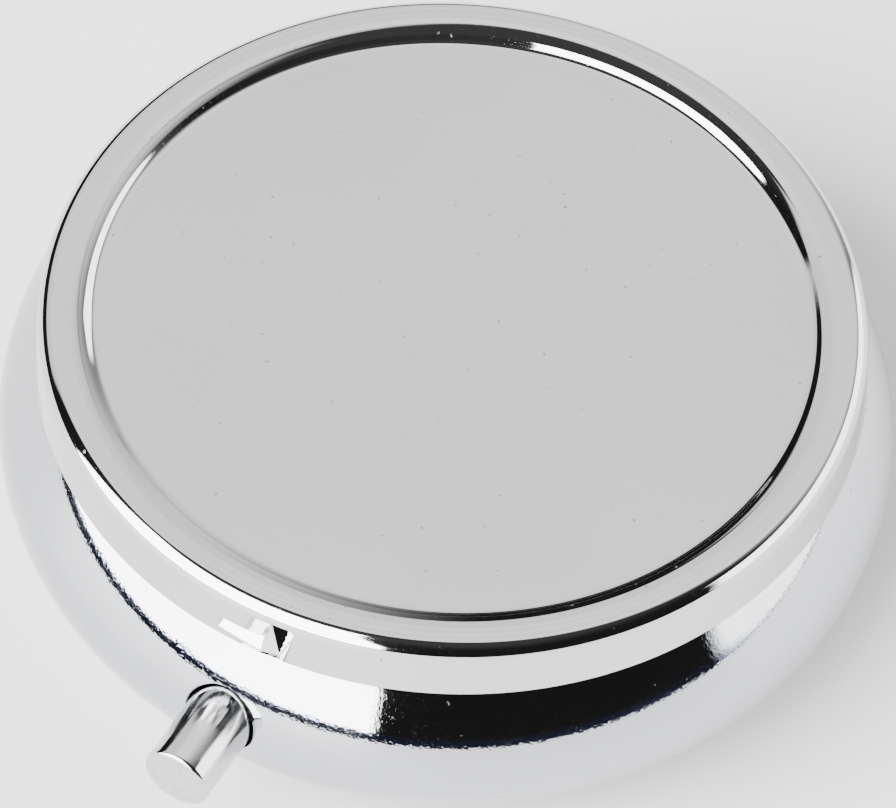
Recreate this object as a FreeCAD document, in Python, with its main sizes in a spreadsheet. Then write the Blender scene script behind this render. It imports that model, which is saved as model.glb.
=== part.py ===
import FreeCAD, Part
import math
import os
import re
import Sketcher

# A round push-button pill box, in millimetres.
# +Z is up, the origin is the centre of the flat underside, the push button points to -Y and the hinge is at +Y.

SIZES = {
    # Base bowl: its section runs foot, foot arc, bulge arc, flank arc, shoulder arc, mouth. Angles are those
    # of the outward normal above the horizontal, in degrees.
    "base_radius": 25.0,
    "base_sheet": 0.5,
    "foot_arc_radius": 10.2,
    "foot_angle": 40.0,
    "bulge_radius": 5.2,
    "flank_angle": 26.0,
    "flank_radius": 15.0,
    "shoulder_angle": 40.0,
    "shoulder_radius": 0.6,
    # Collar, over which the lid closes.
    "collar_radius": 21.8,
    "collar_sheet": 0.5,
    "collar_top": 14.3,
    "collar_flange_radius": 22.0,
    "collar_flange_thickness": 0.4,
    "collar_notch_width": 6.4,
    "collar_notch_floor": 13.25,
    # Lid: sunk disc, cove, sloping wall, lip, ring, corner and flared skirt.
    "lid_sheet": 0.45,
    "lid_top": 16.45,
    "lid_radius": 22.9,
    "lid_corner_radius": 1.0,
    "lid_flare": 4.0,
    "skirt_bottom": 12.95,
    "ring_inner_radius": 21.08,
    "lip_radius": 1.1,
    "wall_slope": 36.0,
    "cove_radius": 0.7,
    "recess_depth": 0.55,
    # Catch pressed into the front of the skirt: a wedge-shaped dent, and the same wedge a sheet further in.
    # Its mouth is at the skirt's surface and its tip, nearer the middle, is shallow and narrow. It was pressed
    # a little to one side of the button.
    "catch_shift": 0.75,
    "dent_mouth": 23.35,
    "dent_mouth_width": 4.8,
    "dent_mouth_low": 12.5,
    "dent_mouth_high": 15.0,
    "dent_tip": 22.15,
    "dent_tip_width": 2.6,
    "dent_tip_low": 13.8,
    "dent_tip_high": 13.9,
    "bump_root": 22.75,
    "bump_root_width": 4.5,
    "bump_root_low": 13.0,
    "bump_root_high": 14.6,
    "bump_tip": 21.8,
    "bump_tip_width": 3.2,
    "bump_tip_low": 13.85,
    "bump_tip_high": 14.1,
    # Notch in the back of the skirt.
    "hinge_notch_width": 10.0,
    "hinge_notch_top": 14.4,
    # Hinge.
    "hinge_setback": 23.5,
    "hinge_level": 12.8,
    "knuckle_radius": 0.75,
    "pin_radius": 0.35,
    "pin_length": 9.6,
    "pin_play": 0.05,
    "leaf_sheet": 0.35,
    "base_knuckle_inner": 3.25,
    "base_knuckle_outer": 4.6,
    "lid_knuckle_inner": 1.8,
    "lid_knuckle_outer": 3.1,
    "lid_leaf_top": 15.2,
    # Torsion spring.
    "spring_wire": 0.25,
    "spring_coil_radius": 0.62,
    "spring_turns": 6.5,
    "spring_pitch": 0.45,
    "spring_base_leg": 0.6,
    "spring_lid_leg": 1.3,
    # Tray.
    "tray_radius": 19.3,
    "tray_wall": 0.9,
    "tray_rim_radius": 21.1,
    "tray_rim_thickness": 0.5,
    "tray_rim_top": 14.3,
    "tray_foot_radius": 15.6,
    "tray_corner_rise": 3.2,
    "tray_scoop_radius": 3.0,
    "divider_thickness": 0.9,
    "divider_top": 13.4,
    "tray_notch_width": 5.6,
    # Button.
    "button_level": 7.8,
    "button_radius": 1.96,
    "button_end": 29.5,
    "button_inner_end": 22.6,
    "button_sheet": 0.35,
    "button_edge": 0.25,
    "button_hole_play": 0.19,
    "stem_radius": 0.9,
    "stem_tenon_radius": 0.5,
    "stem_head_radius": 0.85,
    "stem_head_thickness": 0.25,
    # Latch strip.
    "strip_radius": 21.22,
    "strip_sheet": 0.3,
    "strip_bottom": 12.0,
    "strip_top": 13.7,
    "strip_start": -8.0,
    "strip_end": 48.0,
    "tab_face": 21.1,
    "tab_width": 4.4,
    "tab_bottom": 6.2,
    "hook_width": 2.8,
    "hook_top": 14.75,
    "hook_reach": 22.35,
    "rivet_radius": 0.35,
    "rivet_head_radius": 0.57,
    "rivet_head_thickness": 0.3,
    "rivet_level": 13.15,
    "rivet_first_angle": 34.0,
    "rivet_step_angle": 8.0,
    # Room left between pieces that lie against each other.
    "seat_play": 0.02,
}

doc = FreeCAD.newDocument("PillBox")
sheet = doc.addObject("Spreadsheet::Sheet", "Sizes")
for row, (alias, number) in enumerate(SIZES.items(), start=1):
    sheet.set("A%d" % row, alias)
    sheet.set("B%d" % row, str(number))
    sheet.setAlias("B%d" % row, alias)
doc.recompute()


def bound(expression):
    """The expression with every size's name pointed at its cell in the sheet."""
    return re.sub(r"[a-z]\w+", lambda m: "Sizes." + m[0] if m[0] in SIZES else m[0], expression)


def value(expression):
    """The number that an expression of sizes stands for."""
    return float(sheet.evalExpression(bound(expression)))


def bind(item, **expressions):
    """Bind properties of a document object to expressions of sizes."""
    for name, expression in expressions.items():
        item.setExpression(name, bound(expression))
    return item


def place(item, x="0", y="0", z="0", axis=(0, 0, 1), angle=0):
    """Put an object down at a point given by expressions, turned about an axis."""
    item.Placement = FreeCAD.Placement(
        FreeCAD.Vector(value(x), value(y), value(z)), FreeCAD.Rotation(FreeCAD.Vector(*axis), angle))
    for key, expression in (("x", x), ("y", y), ("z", z)):
        item.setExpression("Placement.Base." + key, bound(expression))
    return item


# Sketches ---------------------------------------------------------------------------------------------------

def new_body(label):
    """An empty PartDesign body."""
    body = doc.addObject("PartDesign::Body", label)
    body.Label = label
    return body


def new_sketch(body, plane, name):
    """A sketch on one of the body's own origin planes."""
    sketch = body.newObject("Sketcher::SketchObject", name)
    support = [part for part in body.Origin.OriginFeatures if part.Role == plane][0]
    sketch.AttachmentSupport = [(support, "")]
    sketch.MapMode = "FlatFace"
    return sketch


def on_arc(centre, radius, angle):
    """The point of an arc at an angle, as a pair of expressions."""
    x, y = centre
    return "(%s) + (%s)*cos(%s)" % (x, radius, angle), "(%s) + (%s)*sin(%s)" % (y, radius, angle)


def pin_vertex(sketch, geometry, end, vertex):
    """Fix one end of a piece of outline at a vertex given by two expressions."""
    for kind, axis_line, expression in (("DistanceX", -2, vertex[0]), ("DistanceY", -1, vertex[1])):
        number = value(expression)
        if abs(number) < 1e-9:
            sketch.addConstraint(Sketcher.Constraint("PointOnObject", geometry, end, axis_line))
            continue
        index = sketch.addConstraint(Sketcher.Constraint(kind, -1, 1, geometry, end, number))
        sketch.setExpression("Constraints[%d]" % index, bound(expression))


def arc_between(start, end, radius, turn):
    """An arc from start to end. turn is +1 where it runs anticlockwise and -1 where it runs clockwise."""
    chord = end - start
    half = chord.Length / 2
    offset = math.sqrt(max(radius ** 2 - half ** 2, 0.0))
    normal = FreeCAD.Vector(-chord.y, chord.x, 0).normalize()
    centre = start + chord * 0.5 + normal * (offset * turn)
    first, last = (start, end) if turn > 0 else (end, start)
    angles = [math.atan2(point.y - centre.y, point.x - centre.x) for point in (first, last)]
    circle = Part.Circle(centre, FreeCAD.Vector(0, 0, 1), radius)
    return Part.ArcOfCircle(circle, angles[0], angles[1])


def outline(sketch, path):
    """A closed outline. Each entry is a vertex (x, y), or (x, y, radius, turn) to reach it by an arc."""
    points = [FreeCAD.Vector(value(entry[0]), value(entry[1]), 0) for entry in path]
    ends = []
    for index, entry in enumerate(path):
        start, end = points[index - 1], points[index]
        if len(entry) == 4:
            geometry = sketch.addGeometry(arc_between(start, end, value(entry[2]), entry[3]))
            radius = sketch.addConstraint(Sketcher.Constraint("Radius", geometry, value(entry[2])))
            sketch.setExpression("Constraints[%d]" % radius, bound(entry[2]))
            ends.append((geometry, 1, 2) if entry[3] > 0 else (geometry, 2, 1))
        else:
            geometry = sketch.addGeometry(Part.LineSegment(start, end))
            ends.append((geometry, 1, 2))
    for index, (geometry, start, end) in enumerate(ends):
        following, following_start, _ = ends[(index + 1) % len(ends)]
        sketch.addConstraint(Sketcher.Constraint("Coincident", geometry, end, following, following_start))
        pin_vertex(sketch, geometry, end, path[index])
    return sketch


def circle(sketch, x, y, radius):
    """A circle with its centre and radius bound to expressions."""
    centre = FreeCAD.Vector(value(x), value(y), 0)
    geometry = sketch.addGeometry(Part.Circle(centre, FreeCAD.Vector(0, 0, 1), value(radius)))
    index = sketch.addConstraint(Sketcher.Constraint("Radius", geometry, value(radius)))
    sketch.setExpression("Constraints[%d]" % index, bound(radius))
    pin_vertex(sketch, geometry, 3, (x, y))
    return sketch


def box_outline(x0, y0, x1, y1):
    """The four corners of an upright rectangle."""
    return [(x0, y0), (x1, y0), (x1, y1), (x0, y1)]


# Features ---------------------------------------------------------------------------------------------------

def revolve(body, sketch, angle="360"):
    """Turn a sketch about its own vertical axis."""
    feature = body.newObject("PartDesign::Revolution", sketch.Name + "_turn")
    feature.Profile = sketch
    feature.ReferenceAxis = (sketch, ["V_Axis"])
    bind(feature, Angle=angle)
    doc.recompute()
    return feature


def pad(body, sketch, length):
    """Thicken a sketch by a length, half of it to each side of its plane."""
    feature = body.newObject("PartDesign::Pad", sketch.Name + "_pad")
    feature.Profile = sketch
    feature.Midplane = True
    bind(feature, Length=length)
    doc.recompute()
    return feature


FRONT, BACK, UP = True, False, True


def pocket(body, sketch, length, reverse):
    """Cut a sketch into the body, to the named side of its plane, and make sure that it cuts something."""
    before = body.Shape.Volume
    feature = body.newObject("PartDesign::Pocket", sketch.Name + "_cut")
    feature.Profile = sketch
    feature.Reversed = reverse
    bind(feature, Length=length)
    doc.recompute()
    if before - body.Shape.Volume < 1e-6:
        raise RuntimeError(feature.Name + " cuts nothing")
    return feature


def cylinder(name, radius, length, **position):
    """A cylinder along its own Z, placed."""
    item = doc.addObject("Part::Cylinder", name)
    bind(item, Radius=radius, Height=length)
    item.Radius, item.Height = value(radius), value(length)
    return place(item, **position)


def block(name, low, high):
    """A box between two corners."""
    item = doc.addObject("Part::Box", name)
    spans = ["(%s) - (%s)" % (b, a) for a, b in zip(low, high)]
    bind(item, Length=spans[0], Width=spans[1], Height=spans[2])
    return place(item, x=low[0], y=low[1], z=low[2])


def fuse(name, items):
    """One solid from several that touch."""
    joined = doc.addObject("Part::MultiFuse", name)
    joined.Shapes = items
    joined.Refine = True
    joined.Label = name
    doc.recompute()
    return joined


def cut(name, base, tool):
    """The base without the tool."""
    rest = doc.addObject("Part::Cut", name)
    rest.Base, rest.Tool = base, tool
    rest.Label = name
    doc.recompute()
    return rest


def common(name, first, second):
    """What two solids share."""
    shared = doc.addObject("Part::Common", name)
    shared.Base, shared.Tool = first, second
    shared.Label = name
    doc.recompute()
    return shared


# Points of the bowl's section, used by the parts that sit in it ---------------------------------------------

FOOT = ("base_radius - bulge_radius + (bulge_radius - foot_arc_radius)*cos(foot_angle)", "foot_arc_radius")
BULGE = ("base_radius - bulge_radius", "foot_arc_radius + (bulge_radius - foot_arc_radius)*sin(foot_angle)")
FLANK = on_arc(BULGE, "bulge_radius - flank_radius", "flank_angle")
SHOULDER = on_arc(FLANK, "flank_radius - shoulder_radius", "shoulder_angle")
MOUTH_TOP = "(%s) + shoulder_radius" % SHOULDER[1]
MOUTH_BOTTOM = "%s - base_sheet" % MOUTH_TOP


def make_base_bowl():
    """Stamped bowl: one sheet thickness between two parallel sections, and the hole for the button."""
    body = new_body("base_bowl")
    sketch = new_sketch(body, "XZ_Plane", "bowl_section")
    outside = [
        ("0", "0"),
        (FOOT[0], "0"),
        on_arc(FOOT, "foot_arc_radius", "-foot_angle") + ("foot_arc_radius", 1),
        on_arc(BULGE, "bulge_radius", "flank_angle") + ("bulge_radius", 1),
        on_arc(FLANK, "flank_radius", "shoulder_angle") + ("flank_radius", 1),
        (SHOULDER[0], MOUTH_TOP, "shoulder_radius", 1),
        ("collar_radius", MOUTH_TOP),
    ]
    inside = [
        ("collar_radius", MOUTH_BOTTOM),
        (SHOULDER[0], MOUTH_BOTTOM),
        on_arc(SHOULDER, "shoulder_radius - base_sheet", "shoulder_angle")
        + ("shoulder_radius - base_sheet", -1),
        on_arc(FLANK, "flank_radius - base_sheet", "flank_angle") + ("flank_radius - base_sheet", -1),
        on_arc(BULGE, "bulge_radius - base_sheet", "-foot_angle") + ("bulge_radius - base_sheet", -1),
        (FOOT[0], "base_sheet", "foot_arc_radius - base_sheet", -1),
        ("0", "base_sheet"),
    ]
    revolve(body, outline(sketch, outside + inside))
    hole = new_sketch(body, "XZ_Plane", "button_hole")
    circle(hole, "0", "button_level", "button_radius + button_hole_play")
    pocket(body, hole, "base_radius + 1", FRONT)
    return body


RIVET_ANGLES = ["rivet_first_angle", "rivet_first_angle + rivet_step_angle"]


def radial_cylinder(name, radius, inner, outer, angle):
    """A cylinder that points outwards from the middle at an angle from the button, between two radii."""
    turn = math.radians(value(angle))
    return cylinder(name, radius, "(%s) - (%s)" % (outer, inner), x="(%s)*sin(%s)" % (inner, angle),
                    y="-(%s)*cos(%s)" % (inner, angle), z="rivet_level",
                    axis=(math.cos(turn), math.sin(turn), 0), angle=90)


def rivet_holes(name):
    """The rivets' shanks, long enough to cut through everything that they hold."""
    shanks = [radial_cylinder("%s_%d" % (name, index), "rivet_radius", "strip_radius - 2", "collar_radius + 2",
                              angle) for index, angle in enumerate(RIVET_ANGLES)]
    return fuse(name, shanks)


def make_base_collar():
    """Ring in the bowl's mouth: upright wall, flange clinched under the mouth's lip, notch for the hook."""
    body = new_body("collar_ring")
    sketch = new_sketch(body, "XZ_Plane", "collar_section")
    inner = "collar_radius - collar_sheet"
    flange_bottom = "%s - collar_flange_thickness" % MOUTH_BOTTOM
    revolve(body, outline(sketch, [
        (inner, flange_bottom), ("collar_flange_radius", flange_bottom),
        ("collar_flange_radius", MOUTH_BOTTOM), ("collar_radius", MOUTH_BOTTOM),
        ("collar_radius", "collar_top"), (inner, "collar_top")]))
    notch = new_sketch(body, "XZ_Plane", "hook_notch")
    outline(notch, box_outline("-collar_notch_width/2", "collar_notch_floor",
                               "collar_notch_width/2", "collar_top + 1"))
    pocket(body, notch, "collar_radius + 1", FRONT)
    return cut("base_collar", body, rivet_holes("collar_rivet_holes"))


# Lid --------------------------------------------------------------------------------------------------------

LIP = ("ring_inner_radius", "lid_top - lip_radius")
WALL_LENGTH = "((recess_depth - (lip_radius + cove_radius)*(1 - cos(wall_slope)))/sin(wall_slope))"
COVE = ("ring_inner_radius - (lip_radius + cove_radius)*sin(wall_slope) - %s*cos(wall_slope)" % WALL_LENGTH,
        "lid_top - recess_depth + cove_radius")
CORNER = ("lid_radius - lid_corner_radius", "lid_top - lid_corner_radius")
FLARE_START = on_arc(CORNER, "lid_corner_radius", "lid_flare")
SKIRT_EDGE = "%s + (%s - skirt_bottom)*tan(lid_flare)" % FLARE_START


def lid_section():
    """The lid's section: outer surface from the middle to the skirt's edge, then the inner surface back."""
    lip_angle = "90 + wall_slope"
    cove_angle = "wall_slope - 90"
    disc = "lid_top - recess_depth"
    outside = [
        ("0", disc),
        (COVE[0], disc),
        on_arc(COVE, "cove_radius", cove_angle) + ("cove_radius", 1),
        on_arc(LIP, "lip_radius", lip_angle),
        ("ring_inner_radius", "lid_top", "lip_radius", -1),
        (CORNER[0], "lid_top"),
        FLARE_START + ("lid_corner_radius", -1),
        (SKIRT_EDGE, "skirt_bottom"),
    ]
    inside = [
        ("%s - lid_sheet/cos(lid_flare)" % SKIRT_EDGE, "skirt_bottom"),
        on_arc(CORNER, "lid_corner_radius - lid_sheet", "lid_flare"),
        (CORNER[0], "lid_top - lid_sheet", "lid_corner_radius - lid_sheet", 1),
        ("ring_inner_radius", "lid_top - lid_sheet"),
        on_arc(LIP, "lip_radius - lid_sheet", lip_angle) + ("lip_radius - lid_sheet", 1),
        on_arc(COVE, "cove_radius + lid_sheet", cove_angle),
        (COVE[0], disc + " - lid_sheet", "cove_radius + lid_sheet", -1),
        ("0", disc + " - lid_sheet"),
    ]
    return outside + inside


def catch_wedge(body, kind, name, wide, narrow):
    """A wedge pointing at the middle from the front, between two sections named in the sheet."""
    wedge = body.newObject("PartDesign::" + kind, name)
    sizes = {
        "Xmin": "catch_shift - %s_width/2" % wide, "Xmax": "catch_shift + %s_width/2" % wide,
        "Zmin": "%s_low" % wide, "Zmax": "%s_high" % wide, "Ymin": "-%s" % wide,
        "X2min": "catch_shift - %s_width/2" % narrow, "X2max": "catch_shift + %s_width/2" % narrow,
        "Z2min": "%s_low" % narrow, "Z2max": "%s_high" % narrow, "Ymax": "-%s" % narrow,
    }
    for key, expression in sizes.items():
        setattr(wedge, key, value(expression))
    bind(wedge, **sizes)
    doc.recompute()
    return wedge


def make_lid_shell():
    """Stamped lid with the catch in front and the notch for the hinge at the back."""
    body = new_body("lid_shell")
    revolve(body, outline(new_sketch(body, "XZ_Plane", "lid_outline"), lid_section()))
    notch = new_sketch(body, "XZ_Plane", "hinge_notch")
    outline(notch, box_outline("-hinge_notch_width/2", "skirt_bottom - 1",
                               "hinge_notch_width/2", "hinge_notch_top"))
    pocket(body, notch, "lid_radius + 2", BACK)
    catch_wedge(body, "AdditiveWedge", "catch_bump", "bump_root", "bump_tip")
    catch_wedge(body, "SubtractiveWedge", "catch_dent", "dent_mouth", "dent_tip")
    return body


# Tray -------------------------------------------------------------------------------------------------------

def make_pill_tray():
    """Moulded tray: rim, round wall, scooped floor and three dividers that meet in the middle."""
    body = new_body("pill_tray")
    sketch = new_sketch(body, "XZ_Plane", "tray_section")
    floor = "base_sheet + tray_wall"
    inner = "tray_radius - tray_wall"
    revolve(body, outline(sketch, [
        ("0", "base_sheet"),
        ("tray_foot_radius", "base_sheet"),
        ("tray_radius", "tray_corner_rise"),
        ("tray_radius", "tray_rim_top - tray_rim_thickness"),
        ("tray_rim_radius", "tray_rim_top - tray_rim_thickness"),
        ("tray_rim_radius", "tray_rim_top"),
        (inner, "tray_rim_top"),
        (inner, "%s + tray_scoop_radius" % floor),
        ("%s - tray_scoop_radius" % inner, floor, "tray_scoop_radius", -1),
        ("0", floor)]))
    divider = new_sketch(body, "YZ_Plane", "divider_outline")
    reach = "tray_radius - tray_wall/2"
    outline(divider, [
        ("0", "base_sheet + tray_wall/2"), ("tray_foot_radius", "base_sheet + tray_wall/2"),
        (reach, "tray_corner_rise + 0.4"), (reach, "divider_top"), ("0", "divider_top")])
    wall = pad(body, divider, "divider_thickness")
    spread = body.newObject("PartDesign::PolarPattern", "divider_spread")
    spread.Originals = [wall]
    spread.Axis = (sketch, ["V_Axis"])
    spread.Angle = 360
    spread.Occurrences = 3
    body.Tip = spread
    doc.recompute()
    notch = new_sketch(body, "XY_Plane", "strip_notch")
    outline(notch, box_outline("-tray_notch_width/2", "-tray_rim_radius - 1",
                               "tray_notch_width/2", "-tray_radius"))
    pocket(body, notch, "tray_rim_top + 1", UP)
    return body


# Hinge ------------------------------------------------------------------------------------------------------

def knuckle(name, left, right, bore):
    """A curled knuckle along the hinge axis between two X positions, with its bore."""
    length = "(%s) - (%s)" % (right, left)
    tubes = []
    for part, radius in (("outer", "knuckle_radius"), ("bore", bore)):
        tubes.append(cylinder("%s_%s" % (name, part), radius, length, x=left, y="hinge_setback",
                              z="hinge_level", axis=(0, 1, 0), angle=90))
    return tubes


def leaf_strip(name, inner, outer, half_width, bottom, top):
    """A curved strip of a leaf: the part of a ring behind the box that lies within half_width of the middle."""
    ring = cut(name + "_ring", cylinder(name + "_outside", outer, "(%s) - (%s)" % (top, bottom), z=bottom),
               cylinder(name + "_inside", inner, "(%s) - (%s)" % (top, bottom), z=bottom))
    window = block(name + "_window", ("-(%s)" % half_width, "0", bottom), (half_width, "base_radius", top))
    return common(name, ring, window)


def make_leaf(name, strip, tongue, inner, outer, bore):
    """A hinge leaf: its strip, and on each side a tongue with a knuckle. tongue is (y0, y1, z0, z1)."""
    y0, y1, z0, z1 = tongue
    pieces, bores = [strip], []
    for side, (left, right) in (("left", ("-%s" % outer, "-%s" % inner)), ("right", (inner, outer))):
        pieces.append(block("%s_%s_tongue" % (name, side), (left, y0, z0), (right, y1, z1)))
        solid, hole = knuckle("%s_%s" % (name, side), left, right, bore)
        pieces.append(solid)
        bores.append(hole)
    return cut(name, fuse(name + "_blank", pieces), fuse(name + "_bores", bores))


def make_hinge_base_leaf():
    """Leaf on the collar's back, with the outer knuckles."""
    top = "hinge_level + 0.3"
    bottom = "%s + seat_play" % MOUTH_TOP
    strip = leaf_strip("base_leaf_strip", "collar_radius", "collar_radius + leaf_sheet",
                       "base_knuckle_outer", bottom, top)
    tongue = ("collar_radius - 0.3", "hinge_setback - knuckle_radius + 0.15", bottom, "%s + leaf_sheet" % bottom)
    blank = make_leaf("base_leaf_blank", strip, tongue, "base_knuckle_inner", "base_knuckle_outer",
                      "pin_radius")
    return cut("hinge_base_leaf", blank, cylinder("base_leaf_trim", "collar_radius", "lid_top"))


def make_hinge_lid_leaf():
    """Leaf inside the lid's back, with the inner knuckles and a window under which the spring's leg passes."""
    level = "hinge_level + knuckle_radius"
    outer = "lid_radius - lid_sheet - seat_play"
    inner = "%s - leaf_sheet" % outer
    bottom = "%s - leaf_sheet" % level
    strip = leaf_strip("lid_leaf_strip", inner, outer, "lid_knuckle_outer", bottom, "lid_leaf_top")
    window = block("lid_leaf_window", ("-lid_knuckle_inner", "%s - 1" % inner, "hinge_level"),
                   ("lid_knuckle_inner", "%s + 1" % outer,
                    "hinge_level + spring_coil_radius + spring_wire/2 + seat_play"))
    tongue = (inner, "hinge_setback", bottom, level)
    return make_leaf("hinge_lid_leaf", cut("lid_leaf_bridge", strip, window), tongue, "lid_knuckle_inner",
                     "lid_knuckle_outer", "pin_radius + pin_play")


def make_hinge_pin():
    """Pin through the knuckles, fixed in the base leaf's."""
    pin = cylinder("hinge_pin", "pin_radius", "pin_length", x="-pin_length/2", y="hinge_setback",
                   z="hinge_level", axis=(0, 1, 0), angle=90)
    pin.Label = "hinge_pin"
    doc.recompute()
    return pin


def make_hinge_spring():
    """Torsion spring around the pin: a coil along X whose two straight legs point forwards, one from below
    that lies on the bowl's shoulder and one from above that lies under the lid's leaf."""
    radius, pitch, turns = value("spring_coil_radius"), value("spring_pitch"), value("spring_turns")
    length = pitch * turns
    coil = Part.makeHelix(pitch, length, radius)
    slope = pitch / (2 * math.pi * radius)
    start = FreeCAD.Vector(radius, 0, 0)
    end = FreeCAD.Vector(-radius, 0, length)
    start_way = FreeCAD.Vector(0, 1, slope).normalize()
    end_way = FreeCAD.Vector(0, -1, slope).normalize()
    foot = start - start_way * value("spring_base_leg")
    base_leg = Part.LineSegment(foot, start).toShape()
    lid_leg = Part.LineSegment(end, end + end_way * value("spring_lid_leg")).toShape()
    section = Part.Wire(Part.Circle(foot, start_way, value("spring_wire") / 2).toShape())
    path = Part.Wire([base_leg] + coil.Edges + [lid_leg])
    item = doc.addObject("Part::Feature", "hinge_spring")
    item.Shape = path.makePipeShell([section], True, True)
    item.Label = "hinge_spring"
    lay = FreeCAD.Rotation(FreeCAD.Vector(0, 1, 0), 90)
    item.Placement = FreeCAD.Placement(
        FreeCAD.Vector(-length / 2, value("hinge_setback"), value("hinge_level")), lay)
    return item


# Latch and button -------------------------------------------------------------------------------------------

def make_latch_strip():
    """Spring strip inside the collar: an arc riveted at one end, with the hook and the button's tab in front."""
    body = new_body("latch_band")
    inner = "strip_radius - strip_sheet"
    sketch = new_sketch(body, "XZ_Plane", "band_section")
    outline(sketch, box_outline(inner, "strip_bottom", "strip_radius", "strip_top"))
    revolve(body, sketch, "strip_end - strip_start")
    body.Placement = FreeCAD.Placement(
        FreeCAD.Vector(), FreeCAD.Rotation(FreeCAD.Vector(0, 0, 1), value("strip_start") - 90))
    back = "strip_sheet - tab_face"
    tab = block("latch_tab", ("-tab_width/2", "-tab_face", "tab_bottom"), ("tab_width/2", back, "strip_top"))
    post = block("latch_post", ("-hook_width/2", "-tab_face", "strip_bottom"),
                 ("hook_width/2", back, "hook_top"))
    hook = block("latch_hook", ("-hook_width/2", "-hook_reach", "hook_top - strip_sheet"),
                 ("hook_width/2", back, "hook_top"))
    joined = fuse("latch_blank", [body, tab, post, hook])
    tenon = cylinder("latch_tenon_hole", "stem_tenon_radius + seat_play", "2", y="-tab_face - 1",
                     z="button_level", axis=(1, 0, 0), angle=-90)
    return cut("latch_spring", joined, fuse("latch_holes", [rivet_holes("latch_rivet_holes"), tenon]))


def make_latch_rivets():
    """Two rivets through collar and strip, with a head on each side."""
    pieces = []
    for index, angle in enumerate(RIVET_ANGLES):
        name = "latch_rivet_%d_" % index
        inside, outside = "strip_radius - strip_sheet - seat_play", "collar_radius + seat_play"
        pieces.append(radial_cylinder(name + "shank", "rivet_radius", inside, outside, angle))
        pieces.append(radial_cylinder(name + "tail", "rivet_head_radius",
                                      "%s - rivet_head_thickness" % inside, inside, angle))
        pieces.append(radial_cylinder(name + "head", "rivet_head_radius", outside,
                                      "%s + rivet_head_thickness" % outside, angle))
    return fuse("latch_rivets", pieces)


def make_button_cap():
    """Drawn cap of the button: a cup that opens inwards, with a softened edge round its flat end."""
    body = new_body("button_cap")
    sketch = new_sketch(body, "XY_Plane", "cap_section")
    bore = "button_radius - button_sheet"
    end = "-button_end"
    outline(sketch, [
        ("0", end), ("button_radius - button_edge", end),
        ("button_radius", "button_edge - button_end", "button_edge", 1),
        ("button_radius", "-button_inner_end"), (bore, "-button_inner_end"),
        (bore, "button_sheet - button_end"), ("0", "button_sheet - button_end")])
    revolve(body, sketch)
    place(body, z="button_level")
    return body


def make_button_stem():
    """Stem in the cap: a flange that fills the cup's mouth, a shank, and a tenon peened over the tab."""
    body = new_body("button_stem")
    sketch = new_sketch(body, "XY_Plane", "stem_section")
    bore = "button_radius - button_sheet"
    outside = "-tab_face - seat_play"
    inside = "strip_sheet - tab_face + seat_play"
    outline(sketch, [
        ("0", "button_sheet - button_end"), ("stem_radius", "button_sheet - button_end"),
        ("stem_radius", "-button_inner_end - 1"), (bore, "-button_inner_end - 1"),
        (bore, "-button_inner_end"), ("stem_radius", "-button_inner_end"),
        ("stem_radius", outside), ("stem_tenon_radius", outside),
        ("stem_tenon_radius", inside), ("stem_head_radius", inside),
        ("stem_head_radius", "%s + stem_head_thickness" % inside), ("0", "%s + stem_head_thickness" % inside)])
    revolve(body, sketch)
    place(body, z="button_level")
    return body


def build():
    """Every sub-part, in the order in which the box goes together."""
    return [
        make_base_bowl(), make_base_collar(), make_pill_tray(), make_latch_strip(), make_latch_rivets(),
        make_button_cap(), make_button_stem(), make_hinge_base_leaf(), make_hinge_pin(),
        make_hinge_spring(), make_hinge_lid_leaf(), make_lid_shell(),
    ]


def check_and_write(parts):
    """Stop if any object failed, then write one STEP file per sub-part."""
    doc.recompute()
    for item in doc.Objects:
        if {"Invalid", "Error"} & set(item.State):
            raise RuntimeError("%s: %s" % (item.Name, item.State))
    os.makedirs("parts", exist_ok=True)
    for part in parts:
        shape = part.Shape
        if shape.isNull() or not shape.isValid():
            raise RuntimeError(part.Label + " has no valid shape")
        print("%-18s solids %d volume %9.3f" % (part.Label, len(shape.Solids), shape.Volume))
        shape.exportStep("parts/%s.step" % part.Label)


check_and_write(build())
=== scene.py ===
import math

import bpy
import numpy as np
from mathutils import Matrix, Vector


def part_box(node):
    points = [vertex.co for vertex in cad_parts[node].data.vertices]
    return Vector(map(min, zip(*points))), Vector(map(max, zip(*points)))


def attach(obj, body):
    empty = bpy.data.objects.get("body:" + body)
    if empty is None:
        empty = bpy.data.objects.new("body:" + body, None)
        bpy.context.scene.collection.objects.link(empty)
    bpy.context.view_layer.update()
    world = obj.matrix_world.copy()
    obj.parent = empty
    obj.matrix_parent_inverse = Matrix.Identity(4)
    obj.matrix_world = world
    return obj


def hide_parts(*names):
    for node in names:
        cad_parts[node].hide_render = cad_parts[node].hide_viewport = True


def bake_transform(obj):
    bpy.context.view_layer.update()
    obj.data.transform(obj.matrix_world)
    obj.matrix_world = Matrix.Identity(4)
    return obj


# A round push-button pill box. Sections and sizes are in millimetres and become metres as they are built.
# +Z is up, the button points to -Y and the hinge is at +Y.

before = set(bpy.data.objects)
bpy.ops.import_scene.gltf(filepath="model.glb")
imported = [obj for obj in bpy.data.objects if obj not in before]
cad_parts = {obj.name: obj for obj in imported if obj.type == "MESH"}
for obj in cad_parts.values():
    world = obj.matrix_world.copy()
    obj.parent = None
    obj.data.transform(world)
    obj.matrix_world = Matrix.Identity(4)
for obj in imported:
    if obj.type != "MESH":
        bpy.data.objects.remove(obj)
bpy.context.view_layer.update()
MM = 0.001


def reach(node, end, axis):
    """A coordinate of a CAD node's box, in millimetres, at its low corner (end 0) or its high one (end 1)."""
    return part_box(node)[end][axis] / MM


# Driving sizes ----------------------------------------------------------------------------------------------

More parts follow.
